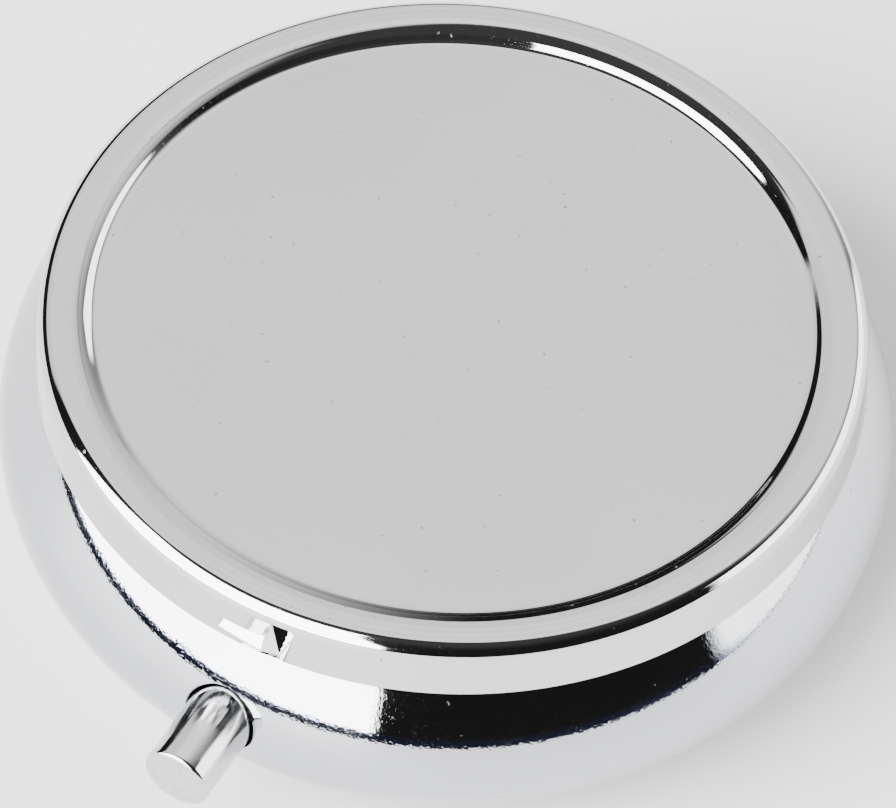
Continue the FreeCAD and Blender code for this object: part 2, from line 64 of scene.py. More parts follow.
# Lid: a disc sunk below a ring, a rounded corner, and a skirt that flares outwards. Only the corner and the
# skirt lie outside SKIRT_FACE.
LID_TOP = reach("lid_shell", 1, 2)
SKIRT_BOTTOM = reach("lid_shell", 0, 2)
SKIRT_EDGE = reach("lid_shell", 1, 0)
SKIRT_FACE = 22.08
LID_SHEET = 0.45
LID_FLARE = math.radians(4.0)
RING_INNER = 21.36
RECESS = 0.55

# The corner and the wall bend in two arcs each, which meet at the break in slope. The cove ends the wall.
CORNER_EDGE, CORNER_BREAK, CORNER_ROUND = 0.5, math.radians(25.0), 1.05
LIP_SOFT, LIP_BREAK, LIP_TIGHT = 2.4, math.radians(26.0), 0.5
WALL_SLOPE = math.radians(36.0)
COVE = 0.6

# Marks of the press tool: where the disc steps down, how far, over what width, and where that ends on the
# wall; then the radii, depth and width of the ring's grooves.
DISC_STEP, STEP_DEPTH, STEP_WIDTH, STEP_END = 18.9, 0.010, 0.07, RING_INNER - 0.7
RING_GROOVES, GROOVE_DEPTH, GROOVE_WIDTH = (21.4, 21.8), 0.005, 0.11

# Half width and top of the hinge's notch, and where the catch's middle is beside the button's line.
HINGE_NOTCH = (5.0, 14.4)
DENT_CENTRE = 0.75

# Bowl: three arcs from the foot to the shoulder, each with the angle at which it ends.
BOWL_RADIUS = reach("base_bowl", 1, 0)
BOWL_SHEET = 0.5
FOOT_ARC, FOOT_ANGLE = 10.2, math.radians(-40.0)
BULGE_ARC, BULGE_ANGLE = 5.2, math.radians(26.0)
FLANK_ARC, FLANK_ANGLE = 15.0, math.radians(40.0)
SHOULDER_ARC = 0.6
COLLAR_RADIUS = 21.8

# Button, and its hole in a window of the bowl's grid, which rings crowded towards the hole fill. Beyond
# WALL_RADIUS the bowl's section is only its wall.
BUTTON_LEVEL = (reach("button_cap", 0, 2) + reach("button_cap", 1, 2)) / 2
BUTTON_RADIUS = reach("button_cap", 1, 0)
BUTTON_END = -reach("button_cap", 0, 1)
BUTTON_INNER = -reach("button_cap", 1, 1)
BUTTON_EDGE, BUTTON_SHEET, BUTTON_CROWN = 0.25, 0.35, 0.05
HOLE_RADIUS = BUTTON_RADIUS + 0.13
HOLE_ROUNDING = 0.12
HOLE_WINDOW_COLUMNS = 9
HOLE_WINDOW_HEIGHT = 3.2
HOLE_RINGS, HOLE_CROWDING = 7, 1.4
WALL_RADIUS = BUTTON_INNER - 3.0

# Steps round the axis, in degrees: everywhere, over the catch and round the button's hole. The catch's steps
# go on for CATCH_REACH to either side of it.
COARSE_STEP, CATCH_STEP, HOLE_STEP = 1.2, 0.1, 1.0
CATCH_REACH = 7.5


# Mesh building ----------------------------------------------------------------------------------------------

def arc(centre, radius, first, last, steps):
    """Points along an arc, both ends included."""
    angles = np.linspace(first, last, steps + 1)
    return [(centre[0] + radius * math.cos(a), centre[1] + radius * math.sin(a)) for a in angles]


def line(start, end, steps):
    """Points along a straight run, without its start."""
    start, end = np.array(start), np.array(end)
    return [tuple(start + (end - start) * k / steps) for k in range(1, steps + 1)]


def tidy(points):
    """A section without repeated points."""
    kept = [points[0]]
    for point in points[1:]:
        if math.dist(point, kept[-1]) > 1e-6:
            kept.append(point)
    return kept


def inside_of(section, thickness):
    """The section of a sheet's other face: every point moved to the right of the way the section runs."""
    points = np.array(section)
    ways = np.gradient(points, axis=0)
    ways /= np.linalg.norm(ways, axis=1)[:, None]
    moved = points + thickness * np.stack([ways[:, 1], -ways[:, 0]], axis=1)
    moved[points[:, 0] < 1e-6, 0] = 0.0
    return [tuple(p) for p in moved]


def fine_angles(coarse, centre, half, fine):
    """Angles round the axis, closer within half of a centre. All are in degrees; radians come back."""
    near = np.arange(-half, half + fine / 2, fine)
    far = np.linspace(half, 360.0 - half, int(round((360.0 - 2 * half) / coarse)) + 1)[1:-1]
    return np.radians(centre + np.concatenate([near, far]))


class Mesh:
    """Vertices in millimetres and faces, gathered and then made into an object."""

    def __init__(self):
        self.vertices, self.faces = [], []

    def vertex(self, x, y, z):
        self.vertices.append((x, y, z))
        return len(self.vertices) - 1

    def face(self, *corners):
        kept = [c for k, c in enumerate(corners) if c != corners[k - 1]]
        if len(kept) > 2:
            self.faces.append(kept)

    def object(self, name, material, crease=40.0):
        """The object, smooth except where faces meet at more than the crease angle in degrees."""
        mesh = bpy.data.meshes.new(name)
        mesh.from_pydata([Vector(v) * MM for v in self.vertices], [], self.faces)
        mesh.validate()
        mesh.shade_smooth()
        mesh.set_sharp_from_angle(angle=math.radians(crease))
        mesh.materials.append(material)
        made = bpy.data.objects.new(name, mesh)
        bpy.context.scene.collection.objects.link(made)
        return made


def two_skins(outer, inner, angles, removed=None, shape=None, windows=()):
    """A sheet turned about Z between two sections with as many points each, joined at its open ends.
    removed(angle, z, radius) says which cells are cut out, shape(x, y, z) moves a point, and each window is
    ((first column, last column), (first row, last row)), a block of cells left open on both skins."""
    mesh = Mesh()
    rows, columns = len(outer), len(angles)
    grids = []
    for skin in (outer, inner):
        grid = []
        for radius, z in skin:
            if radius < 1e-6:
                grid.append([mesh.vertex(0, 0, z)] * columns)
                continue
            points = [(radius * math.cos(a), radius * math.sin(a), z) for a in angles]
            grid.append([mesh.vertex(*(shape(*p) if shape else p)) for p in points])
        grids.append(grid)
    middle = [(angles[i] + angles[(i + 1) % columns] + (math.tau if i == columns - 1 else 0)) / 2
              for i in range(columns)]
    gone = set()
    for j in range(rows - 1):
        level = (outer[j][1] + outer[j + 1][1]) / 2
        for i in range(columns):
            if removed and removed(middle[i], level, (outer[j][0] + outer[j + 1][0]) / 2):
                gone.add((i, j))
    holes = {(i, j) for (i0, i1), (j0, j1) in windows for i in range(i0, i1) for j in range(j0, j1)}
    top, under = grids
    for j in range(rows - 1):
        for i in range(columns):
            if (i, j) in gone or (i, j) in holes:
                continue
            n = (i + 1) % columns
            mesh.face(top[j][i], top[j][n], top[j + 1][n], top[j + 1][i])
            mesh.face(under[j][i], under[j + 1][i], under[j + 1][n], under[j][n])
            if ((i - 1) % columns, j) in gone:
                mesh.face(top[j][i], top[j + 1][i], under[j + 1][i], under[j][i])
            if (n, j) in gone:
                mesh.face(top[j][n], under[j][n], under[j + 1][n], top[j + 1][n])
            if (i, j - 1) in gone or j == 0:
                mesh.face(top[j][i], under[j][i], under[j][n], top[j][n])
            if (i, j + 1) in gone or j == rows - 2:
                mesh.face(top[j + 1][i], top[j + 1][n], under[j + 1][n], under[j + 1][i])
    return mesh, grids


def turned(mesh, profile, origin, axis, steps=72):
    """A solid of revolution. The profile is (radius, distance along the axis) from end to end."""
    direction = Vector(axis).normalized()
    side = direction.orthogonal().normalized()
    other = direction.cross(side)
    rings = []
    for radius, along in np.array(profile).tolist():
        centre = Vector(origin) + direction * along
        if radius < 1e-6:
            rings.append([mesh.vertex(*centre)] * steps)
            continue
        ring = []
        for k in range(steps):
            angle = math.tau * k / steps
            ring.append(mesh.vertex(*(centre + radius * (side * math.cos(angle) + other * math.sin(angle)))))
        rings.append(ring)
    for first, second in zip(rings, rings[1:]):
        for k in range(steps):
            n = (k + 1) % steps
            mesh.face(first[k], second[k], second[n], first[n])
    return mesh


# Node materials ---------------------------------------------------------------------------------------------

class Nodes:
    """A short way to write a node tree."""

    def __init__(self, tree):
        self.tree = tree
        tree.nodes.clear()

    def add(self, kind, inputs=None, **settings):
        node = self.tree.nodes.new(kind)
        for key, setting in settings.items():
            setattr(node, key, setting)
        for key, given in (inputs or {}).items():
            if isinstance(given, bpy.types.NodeSocket):
                self.tree.links.new(given, node.inputs[key])
            else:
                node.inputs[key].default_value = given
        return node

    def math(self, operation, *given):
        return self.add("ShaderNodeMath", dict(enumerate(given)), operation=operation).outputs[0]

    def smooth(self, given, low, high, start=0.0, end=1.0):
        inputs = {"Value": given, "From Min": low, "From Max": high, "To Min": start, "To Max": end}
        return self.add("ShaderNodeMapRange", inputs, interpolation_type="SMOOTHSTEP").outputs[0]

    def dot(self, vector, fixed):
        node = self.add("ShaderNodeVectorMath", {0: vector, 1: fixed}, operation="DOT_PRODUCT")
        return node.outputs["Value"]

    def noise(self, vector, scale, detail=2.0, roughness=0.5):
        node = self.add("ShaderNodeTexNoise", {"Vector": vector, "Scale": scale, "Detail": detail,
                                               "Roughness": roughness})
        return node.outputs["Fac"]

    def mapped(self, vector, scale, turn=(0, 0, 0)):
        node = self.add("ShaderNodeMapping", {"Vector": vector, "Scale": scale, "Rotation": turn})
        return node.outputs[0]

    def mix(self, factor, first, second):
        node = self.add("ShaderNodeMix", data_type="RGBA")
        for key, given in ((0, factor), (6, first), (7, second)):
            if isinstance(given, bpy.types.NodeSocket):
                self.tree.links.new(given, node.inputs[key])
            else:
                node.inputs[key].default_value = given
        return node.outputs[2]

    def bump(self, height, strength, distance, normal=None):
        inputs = {"Height": height, "Strength": strength, "Distance": distance}
        if normal:
            inputs["Normal"] = normal
        return self.add("ShaderNodeBump", inputs).outputs[0]


def new_material(name):
    """A material with its node writer, object coordinates and an empty Principled shader."""
    material = bpy.data.materials.new(name)
    material.use_nodes = True
    nodes = Nodes(material.node_tree)
    shader = nodes.add("ShaderNodeBsdfPrincipled")
    output = nodes.add("ShaderNodeOutputMaterial")
    nodes.tree.links.new(shader.outputs[0], output.inputs["Surface"])
    place = nodes.add("ShaderNodeTexCoord").outputs["Object"]
    return material, nodes, shader, place


def scratches(nodes, place, turn, length, width, share):
    """Sparse hair scratches: 1 on a scratch. length and width are in metres; share is how rare they are."""
    stretched = nodes.mapped(place, (1 / length, 1 / width, 1 / width), (0, 0, turn))
    return nodes.smooth(nodes.noise(stretched, 1.0, 1.0), share, share + 0.04)


def chrome(name, orange_peel, wear, tint=(0.595, 0.60, 0.611)):
    """Bright chrome plate: orange peel in the plating, hair scratches, specks of dust and cloudy handling."""
    material, nodes, shader, place = new_material(name)
    specks = nodes.smooth(nodes.noise(place, 2600.0, 1.0), 0.76, 0.80)
    marks = nodes.math("MAXIMUM", scratches(nodes, place, 0.5, 0.004, 0.00006, 0.72),
                       scratches(nodes, place, 2.1, 0.003, 0.00005, 0.73))
    marks = nodes.math("MULTIPLY", marks, wear)
    cloud = nodes.noise(place, 120.0, 4.0, 0.6)
    broad = nodes.math("ADD", nodes.math("MULTIPLY", cloud, 0.4), nodes.math(
        "MULTIPLY", nodes.smooth(nodes.noise(place, 48.0, 1.0), 0.3, 0.7), 0.6))
    tone = nodes.mix(broad, tuple(0.96 * c for c in tint) + (1,), tuple(1.05 * c for c in tint) + (1,))
    dusty = nodes.mix(nodes.math("MULTIPLY", specks, 0.6 * wear), tone, (0.16, 0.155, 0.15, 1))
    nodes.tree.links.new(nodes.mix(nodes.math("MULTIPLY", marks, 0.35), dusty, (0.36, 0.36, 0.37, 1)),
                         shader.inputs["Base Color"])
    rough = nodes.math("ADD", nodes.smooth(cloud, 0.3, 0.75, 0.025, 0.06),
                       nodes.math("MULTIPLY", marks, 0.15))
    nodes.tree.links.new(nodes.math("ADD", rough, nodes.math("MULTIPLY", specks, 0.3 * wear)),
                         shader.inputs["Roughness"])
    shader.inputs["Metallic"].default_value = 1.0
    grain = nodes.bump(nodes.noise(place, 5200.0, 1.0), 1.0, orange_peel)
    waves = nodes.bump(nodes.noise(place, 260.0, 1.0), 1.0, orange_peel * 1.5, grain)
    nodes.tree.links.new(waves, shader.inputs["Normal"])
    return material


def satin_chrome():
    """The button's chrome: dulled by fingers, with soft lengthwise streaks from drawing."""
    material, nodes, shader, place = new_material("chrome_button")
    streaks = nodes.noise(nodes.mapped(place, (2600.0, 90.0, 2600.0)), 1.0, 3.0, 0.6)
    hazy = nodes.noise(place, 700.0, 3.0, 0.6)
    tone = nodes.mix(nodes.smooth(streaks, 0.35, 0.65), (0.54, 0.54, 0.545, 1), (0.63, 0.63, 0.635, 1))
    nodes.tree.links.new(tone, shader.inputs["Base Color"])
    nodes.tree.links.new(nodes.math("ADD", nodes.smooth(streaks, 0.3, 0.7, 0.07, 0.16),
                                    nodes.smooth(hazy, 0.4, 0.7, 0.0, 0.06)), shader.inputs["Roughness"])
    shader.inputs["Metallic"].default_value = 1.0
    grain = nodes.bump(hazy, 1.0, 8e-7)
    nodes.tree.links.new(nodes.bump(streaks, 1.0, 3e-6, grain), shader.inputs["Normal"])
    return material


def drawn_steel(name, tone, direction):
    """Satin steel with drawing lines along a direction."""
    material, nodes, shader, place = new_material(name)
    scale = tuple(300.0 if d else 22000.0 for d in direction)
    lines = nodes.noise(nodes.mapped(place, scale), 1.0, 3.0, 0.6)
    dull = nodes.noise(place, 900.0, 3.0)
    light = tuple(min(1.0, c * 1.25) for c in tone) + (1,)
    dark = tuple(c * 0.7 for c in tone) + (1,)
    nodes.tree.links.new(nodes.mix(nodes.smooth(dull, 0.3, 0.7), dark, light), shader.inputs["Base Color"])
    nodes.tree.links.new(nodes.smooth(lines, 0.25, 0.75, 0.18, 0.38), shader.inputs["Roughness"])
    shader.inputs["Metallic"].default_value = 1.0
    nodes.tree.links.new(nodes.bump(lines, 1.0, 1.2e-6), shader.inputs["Normal"])
    return material


def white_plastic():
    """Moulded polypropylene: faintly cloudy white with a fine satin grain and soft flow marks."""
    material, nodes, shader, place = new_material("tray_plastic")
    cloud = nodes.noise(place, 180.0, 4.0, 0.55)
    grain = nodes.noise(place, 9000.0, 2.0)
    nodes.tree.links.new(nodes.mix(cloud, (0.80, 0.80, 0.775, 1), (0.88, 0.88, 0.865, 1)),
                         shader.inputs["Base Color"])
    nodes.tree.links.new(nodes.smooth(grain, 0.3, 0.7, 0.34, 0.46), shader.inputs["Roughness"])
    shader.inputs["Subsurface Weight"].default_value = 0.15
    shader.inputs["Subsurface Radius"].default_value = (0.0012, 0.0011, 0.0009)
    shader.inputs["IOR"].default_value = 1.49
    fine = nodes.bump(grain, 0.6, 4e-6)
    nodes.tree.links.new(nodes.bump(cloud, 1.0, 2e-5, fine), shader.inputs["Normal"])
    return material


CHROME_LID = chrome("chrome_lid", 5e-7, 1.0)
# The bowl's chrome is a darker, bluer copy of the lid's chrome: painted shade that darkens the bowl's
# reflections against the pale floor.
CHROME_BOWL_SHADED = chrome("chrome_bowl_shaded", 2.6e-6, 0.9, (0.50, 0.512, 0.538))
CHROME_BUTTON = satin_chrome()
STEEL = drawn_steel("steel", (0.60, 0.60, 0.61), (1, 0, 0))
SPRING_STEEL = drawn_steel("spring_steel", (0.36, 0.36, 0.40), (1, 0, 0))
PLASTIC = white_plastic()


# Lid --------------------------------------------------------------------------------------------------------

def press_mark(radius):
    """How far the press tool left a radius low: a step that starts on the disc, and two faint grooves."""
    step = STEP_DEPTH / (1 + math.exp(-(radius - DISC_STEP) / STEP_WIDTH)) if radius < STEP_END else 0.0
    grooves = sum(GROOVE_DEPTH * math.exp(-((radius - middle) / GROOVE_WIDTH) ** 2)
                  for middle in RING_GROOVES)
    return step + grooves


def bend(points, radius, first, last, steps, way):
    """Adds a downward arc on which the slope goes from first to last. way is 1 outwards and -1 inwards."""
    r, z = points[-1]
    for slope in np.linspace(first, last, steps + 1)[1:]:
        points.append((r + way * radius * abs(math.sin(slope) - math.sin(first)),
                       z - radius * abs(math.cos(slope) - math.cos(first))))


def lid_section():
    """The lid's outer face from the middle of the disc to the skirt's edge."""
    disc = LID_TOP - RECESS
    wall = [(RING_INNER, LID_TOP)]
    bend(wall, LIP_SOFT, 0.0, LIP_BREAK, 18, -1)
    bend(wall, LIP_TIGHT, LIP_BREAK, WALL_SLOPE, 6, -1)
    run = (wall[-1][1] - disc - COVE * (1 - math.cos(WALL_SLOPE))) / math.sin(WALL_SLOPE)
    r, z = wall[-1]
    wall += line(wall[-1], (r - run * math.cos(WALL_SLOPE), z - run * math.sin(WALL_SLOPE)), 4)
    bend(wall, COVE, WALL_SLOPE, 0.0, 12, -1)
    points = [(0.0, disc)] + line((0.0, disc), (wall[-1][0], disc), 60) + wall[::-1]
    corner = [(0.0, LID_TOP)]
    bend(corner, CORNER_EDGE, 0.0, CORNER_BREAK, 8, 1)
    bend(corner, CORNER_ROUND, CORNER_BREAK, math.radians(90) - LID_FLARE, 22, 1)
    reach_in = SKIRT_EDGE - (corner[-1][1] - SKIRT_BOTTOM) * math.tan(LID_FLARE) - corner[-1][0]
    points += line(points[-1], (reach_in, LID_TOP), 16)
    points = [(r, z - press_mark(r)) for r, z in points] + [(r + reach_in, z) for r, z in corner]
    return tidy(points + line(points[-1], (SKIRT_EDGE, SKIRT_BOTTOM), 46))


# The catch is pressed in as flat facets between these corners: x from the catch's middle, z, and depth.
DENT_CORNERS = {
    "low_left": (-2.05, 13.4, 0.0), "low_right": (0.65, 13.1, 0.0), "in_right": (0.6, 14.12, 0.6),
    "in_left": (-1.85, 14.05, 0.5), "left": (-2.2, 14.1, 0.0), "high_left": (-1.95, 14.25, 0.0),
    "high_right": (0.65, 14.32, 0.0),
    "pit_middle": (0.85, 14.3, 0.49), "pit_left": (0.78, 15.0, 0.71), "pit_right": (1.92, 14.8, 1.1),
    "pit_tip": (1.71, 13.25, 0.1), "mouth_left": (1.2, 15.62, 0.0), "mouth_top": (2.2, 15.6, 0.0),
    "mouth_right": (2.5, 15.4, 0.0), "foot_left": (0.65, 12.6, 0.0), "foot_right": (1.9, 12.6, 0.0),
}
DENT_FACETS = [
    ("low_left", "low_right", "in_right"), ("low_left", "in_right", "in_left"),
    ("low_left", "in_left", "left"), ("left", "in_left", "high_left"),
    ("in_left", "in_right", "high_right"), ("in_left", "high_right", "high_left"),
    ("low_right", "pit_middle", "in_right"), ("in_right", "pit_middle", "high_right"),
    ("low_right", "pit_tip", "pit_middle"), ("pit_middle", "pit_tip", "pit_left"),
    ("pit_left", "pit_tip", "pit_right"), ("high_right", "pit_middle", "pit_left"),
    ("high_right", "pit_left", "mouth_left"), ("mouth_left", "pit_left", "pit_right"),
    ("mouth_left", "pit_right", "mouth_top"), ("mouth_top", "pit_right", "mouth_right"),
    ("pit_right", "pit_tip", "mouth_right"), ("pit_tip", "foot_right", "mouth_right"),
    ("low_right", "foot_left", "pit_tip"), ("foot_left", "foot_right", "pit_tip"),
]


def dent_depth(x, z):
    """How far the catch is pressed in at a point of the skirt."""
    for names in DENT_FACETS:
        (xa, za, da), (xb, zb, db), (xc, zc, dc) = (DENT_CORNERS[n] for n in names)
        area = (xb - xa) * (zc - za) - (xc - xa) * (zb - za)
        b = ((x - xa) * (zc - za) - (xc - xa) * (z - za)) / area
        c = ((xb - xa) * (z - za) - (x - xa) * (zb - za)) / area
        if b >= 0 and c >= 0 and b + c <= 1:
            return (1 - b - c) * da + b * db + c * dc
    return 0.0


def press_dent(x, y, z):
    """A point of the lid moved in by the catch's depth."""
    if y > 0 or math.hypot(x, y) < SKIRT_FACE:
        return x, y, z
    share = 1 - dent_depth(x - DENT_CENTRE, z) / math.hypot(x, y)
    return x * share, y * share, z


def in_hinge_notch(angle, z, radius):
    """Whether a cell of the skirt lies in the notch at the back."""
    half, top = HINGE_NOTCH
    return math.sin(angle) > 0 and radius > SKIRT_FACE and z < top and abs(radius * math.cos(angle)) < half


def make_lid():
    """The stamped lid with its catch and its notch."""
    outer = lid_section()
    inner = inside_of(outer, LID_SHEET)
    inner[-1] = (inner[-1][0], SKIRT_BOTTOM)
    angles = fine_angles(COARSE_STEP, -90.0 + math.degrees(DENT_CENTRE / SKIRT_EDGE), CATCH_REACH, CATCH_STEP)
    mesh, _ = two_skins(outer, inner, angles, in_hinge_notch, press_dent)
    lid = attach(mesh.object("lid", CHROME_LID), "lid")
    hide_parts("lid_shell")


# Bowl -------------------------------------------------------------------------------------------------------

def bowl_section(depth):
    """The bowl's face that lies a depth inside its outer one, from the middle of the foot to the mouth."""
    bulge_x = BOWL_RADIUS - BULGE_ARC
    foot = (bulge_x + (BULGE_ARC - FOOT_ARC) * math.cos(FOOT_ANGLE), FOOT_ARC)
    bulge = (bulge_x, FOOT_ARC - (BULGE_ARC - FOOT_ARC) * math.sin(FOOT_ANGLE))
    flank = (bulge[0] + (BULGE_ARC - FLANK_ARC) * math.cos(BULGE_ANGLE),
             bulge[1] + (BULGE_ARC - FLANK_ARC) * math.sin(BULGE_ANGLE))
    shoulder = (flank[0] + (FLANK_ARC - SHOULDER_ARC) * math.cos(FLANK_ANGLE),
                flank[1] + (FLANK_ARC - SHOULDER_ARC) * math.sin(FLANK_ANGLE))
    points = [(0.0, depth)] + line((0.0, depth), (foot[0], depth), 14)
    points += arc(foot, FOOT_ARC - depth, math.radians(-90), FOOT_ANGLE, 20)[1:]
    points += arc(bulge, BULGE_ARC - depth, FOOT_ANGLE, BULGE_ANGLE, 34)[1:]
    points += arc(flank, FLANK_ARC - depth, BULGE_ANGLE, FLANK_ANGLE, 16)[1:]
    points += arc(shoulder, SHOULDER_ARC - depth, FLANK_ANGLE, math.radians(90), 10)[1:]
    return points + [(COLLAR_RADIUS, points[-1][1])]


def window_loop(grid, columns, rows):
    """The vertices round a window of a grid, in order."""
    (i0, i1), (j0, j1) = columns, rows
    loop = [grid[j0][i] for i in range(i0, i1)] + [grid[j][i1] for j in range(j0, j1)]
    return loop + [grid[j1][i] for i in range(i1, i0, -1)] + [grid[j][i0] for j in range(j1, j0, -1)]


def hole_rings(mesh, loop, section, radius, turns):
    """Rings from a window's edge to a round hole, all on the bowl's face. The last ring is the hole's."""
    levels = sorted((z, r) for r, z in section if r > WALL_RADIUS)
    heights, radii = zip(*levels)
    edge = [(mesh.vertices[v][0], mesh.vertices[v][2]) for v in loop]
    rings = [loop]
    for k in range(1, HOLE_RINGS + 1):
        share = 1 - (1 - k / HOLE_RINGS) ** HOLE_CROWDING
        ring = []
        for (x, z), turn in zip(edge, turns):
            px = x + (radius * math.cos(turn) - x) * share
            pz = z + (BUTTON_LEVEL + radius * math.sin(turn) - z) * share
            around = float(np.interp(pz, heights, radii))
            ring.append(mesh.vertex(px, -math.sqrt(around ** 2 - px ** 2), pz))
        rings.append(ring)
    return rings


def join_rings(mesh, rings, flip):
    """Faces between each ring and the next."""
    for first, second in zip(rings, rings[1:]):
        for k, corner in enumerate(first):
            n = (k + 1) % len(first)
            quad = (corner, second[k], second[n], first[n])
            mesh.face(*(quad[::-1] if flip else quad))


def make_bowl():
    """The stamped bowl with the button's round hole in a window of its grid."""
    outer, inner = bowl_section(0.0), bowl_section(BOWL_SHEET)
    angles = fine_angles(COARSE_STEP, -90.0, HOLE_WINDOW_COLUMNS * HOLE_STEP, HOLE_STEP)
    columns = (0, 2 * HOLE_WINDOW_COLUMNS)
    in_window = [j for j, (r, z) in enumerate(outer)
                 if r > BUTTON_INNER and abs(z - BUTTON_LEVEL) < HOLE_WINDOW_HEIGHT]
    rows = (in_window[0], in_window[-1])
    mesh, (top, under) = two_skins(outer, inner, angles, windows=[(columns, rows)])
    loops = [window_loop(grid, columns, rows) for grid in (top, under)]
    turns = [math.atan2(mesh.vertices[v][2] - BUTTON_LEVEL, mesh.vertices[v][0]) for v in loops[0]]
    outside = hole_rings(mesh, loops[0], outer, HOLE_RADIUS + HOLE_ROUNDING, turns)
    inside = hole_rings(mesh, loops[1], inner, HOLE_RADIUS, turns)
    rim = [outside[-1]]
    for tilt in np.radians([30, 60, 90]):
        shrink = (HOLE_RADIUS + HOLE_ROUNDING * (1 - math.sin(tilt))) / (HOLE_RADIUS + HOLE_ROUNDING)
        ring = []
        for v in outside[-1]:
            x, y, z = mesh.vertices[v]
            ring.append(mesh.vertex(x * shrink, y + HOLE_ROUNDING * (1 - math.cos(tilt)),
                                    BUTTON_LEVEL + (z - BUTTON_LEVEL) * shrink))
        rim.append(ring)
    join_rings(mesh, outside, False)
    join_rings(mesh, rim + [inside[-1]], False)
    join_rings(mesh, inside, True)
    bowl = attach(mesh.object("bowl", CHROME_BOWL_SHADED), "base")
    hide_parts("base_bowl")


# Button -----------------------------------------------------------------------------------------------------

def make_button():
    """A drawn cap: a slightly crowned end, a rounded edge, a straight side and a chamfer at its open end."""
    end, inner, bore, chamfer = BUTTON_END, BUTTON_INNER, BUTTON_RADIUS - BUTTON_SHEET, 0.1
    flat = BUTTON_RADIUS - BUTTON_EDGE
    face = [(0.0, end)] + [(r, end - BUTTON_CROWN * (r / flat) ** 2) for r in np.linspace(0.2, flat, 8)]
    rounding = arc((flat, end - BUTTON_EDGE - BUTTON_CROWN), BUTTON_EDGE, math.radians(90), 0.0, 8)
    profile = face + rounding[1:] + line(rounding[-1], (BUTTON_RADIUS, inner + chamfer), 10)
    profile += [(BUTTON_RADIUS - chamfer, inner), (bore, inner), (bore, end - BUTTON_SHEET)]
    profile += [(0.0, end - BUTTON_SHEET)]
    mesh = turned(Mesh(), tidy(profile), (0, 0, BUTTON_LEVEL), (0, -1, 0), 96)
    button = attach(mesh.object("button", CHROME_BUTTON), "button")
    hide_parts("button_cap")


# Springs ----------------------------------------------------------------------------------------------------

def make_spring(node):
    """A spring: a smooth-shaded copy of the CAD node's wire or strip in spring steel, in place of the node.
    """
    spring = bpy.data.objects.new(node + "_bent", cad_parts[node].data.copy())
    bpy.context.scene.collection.objects.link(spring)
    spring.data.shade_smooth()
    spring.data.set_sharp_from_angle(angle=math.radians(35))
    spring.data.materials.clear()
    spring.data.materials.append(SPRING_STEEL)
    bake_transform(spring)
    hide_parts(node)


# The object -------------------------------------------------------------------------------------------------

make_lid()
make_bowl()
make_button()

make_spring("hinge_spring")
make_spring("latch_spring")

CAD_FINISHES = {
    "base_collar": CHROME_LID, "hinge_base_leaf": CHROME_LID, "hinge_lid_leaf": CHROME_LID,
    "hinge_pin": STEEL, "button_stem": STEEL, "latch_rivets": STEEL, "pill_tray": PLASTIC,
}
for node, finish in CAD_FINISHES.items():
    for material_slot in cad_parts[node].material_slots:
        material_slot.material = finish


# Studio -----------------------------------------------------------------------------------------------------

CAMERA_AZIMUTH = math.radians(26.85)
CAMERA_ELEVATION = math.radians(52.6)
CAMERA_ROLL = math.radians(3.96)
CAMERA_DISTANCE = 0.5
CAMERA_LENS = 360.1
TARGET = Vector((0, 0, 6.99)) * MM
SHIFT_RIGHT, SHIFT_UP = 0.05 * MM, 0.84 * MM

TOWARDS = Vector((math.sin(CAMERA_AZIMUTH), -math.cos(CAMERA_AZIMUTH), 0))
RIGHTWARDS = Vector((math.cos(CAMERA_AZIMUTH), math.sin(CAMERA_AZIMUTH), 0))


def make_camera():
    """A long lens at the product shot's angle."""
    back = TOWARDS * math.cos(CAMERA_ELEVATION) + Vector((0, 0, math.sin(CAMERA_ELEVATION)))
    up = back.cross(RIGHTWARDS)
    right = RIGHTWARDS * math.cos(CAMERA_ROLL) + up * math.sin(CAMERA_ROLL)
    upright = back.cross(right)
    data = bpy.data.cameras.new("camera")
    data.lens, data.sensor_width = CAMERA_LENS, 36.0
    data.clip_start, data.clip_end = 0.01, 10.0
    camera = bpy.data.objects.new("camera", data)
    bpy.context.scene.collection.objects.link(camera)
    turn = Matrix((right, upright, back)).transposed()
    camera.matrix_world = Matrix.Translation(
        TARGET + right * SHIFT_RIGHT + upright * SHIFT_UP + back * CAMERA_DISTANCE) @ turn.to_4x4()
    bpy.context.scene.camera = camera


def make_floor():
    """A pale tabletop, so wide that its edge is at the horizon."""
    half = 3000.0
    mesh = Mesh()
    corners = ((-half, -half), (half, -half), (half, half), (-half, half))
    mesh.face(*(mesh.vertex(x, y, -0.02) for x, y in corners))
    material, nodes, shader, place = new_material("tabletop")
    tone = nodes.mix(nodes.noise(place, 40.0, 3.0), (0.85, 0.85, 0.85, 1), (0.88, 0.88, 0.88, 1))
    nodes.tree.links.new(tone, shader.inputs["Base Color"])
    shader.inputs["Roughness"].default_value = 0.6
    mesh.object("tabletop", material)


# The studio's lights. Azimuths are in degrees from the camera's side, positive to its right, and heights are
# in degrees above the horizon. The wash fades as a direction turns to the camera's side: it is full below
# WASH_FULL and gone at WASH_END, which moves by WASH_SPREAD to the right. The bows bend that edge.
WASH_FULL, WASH_END, WASH_SPREAD = -0.33, -0.25, 1.1
BOW_RIGHT, BOW_LEFT = 0.9, -0.12
HOLLOW_DEPTH = 0.82
SOFTBOX_STRENGTH, PANEL_STRENGTH = 16.0, 6.0
ROOM_LEVELS = (0.02, 0.075)
STRIP_LEVEL, NAVY = 0.05, (0.38, 0.48, 1.0, 1)


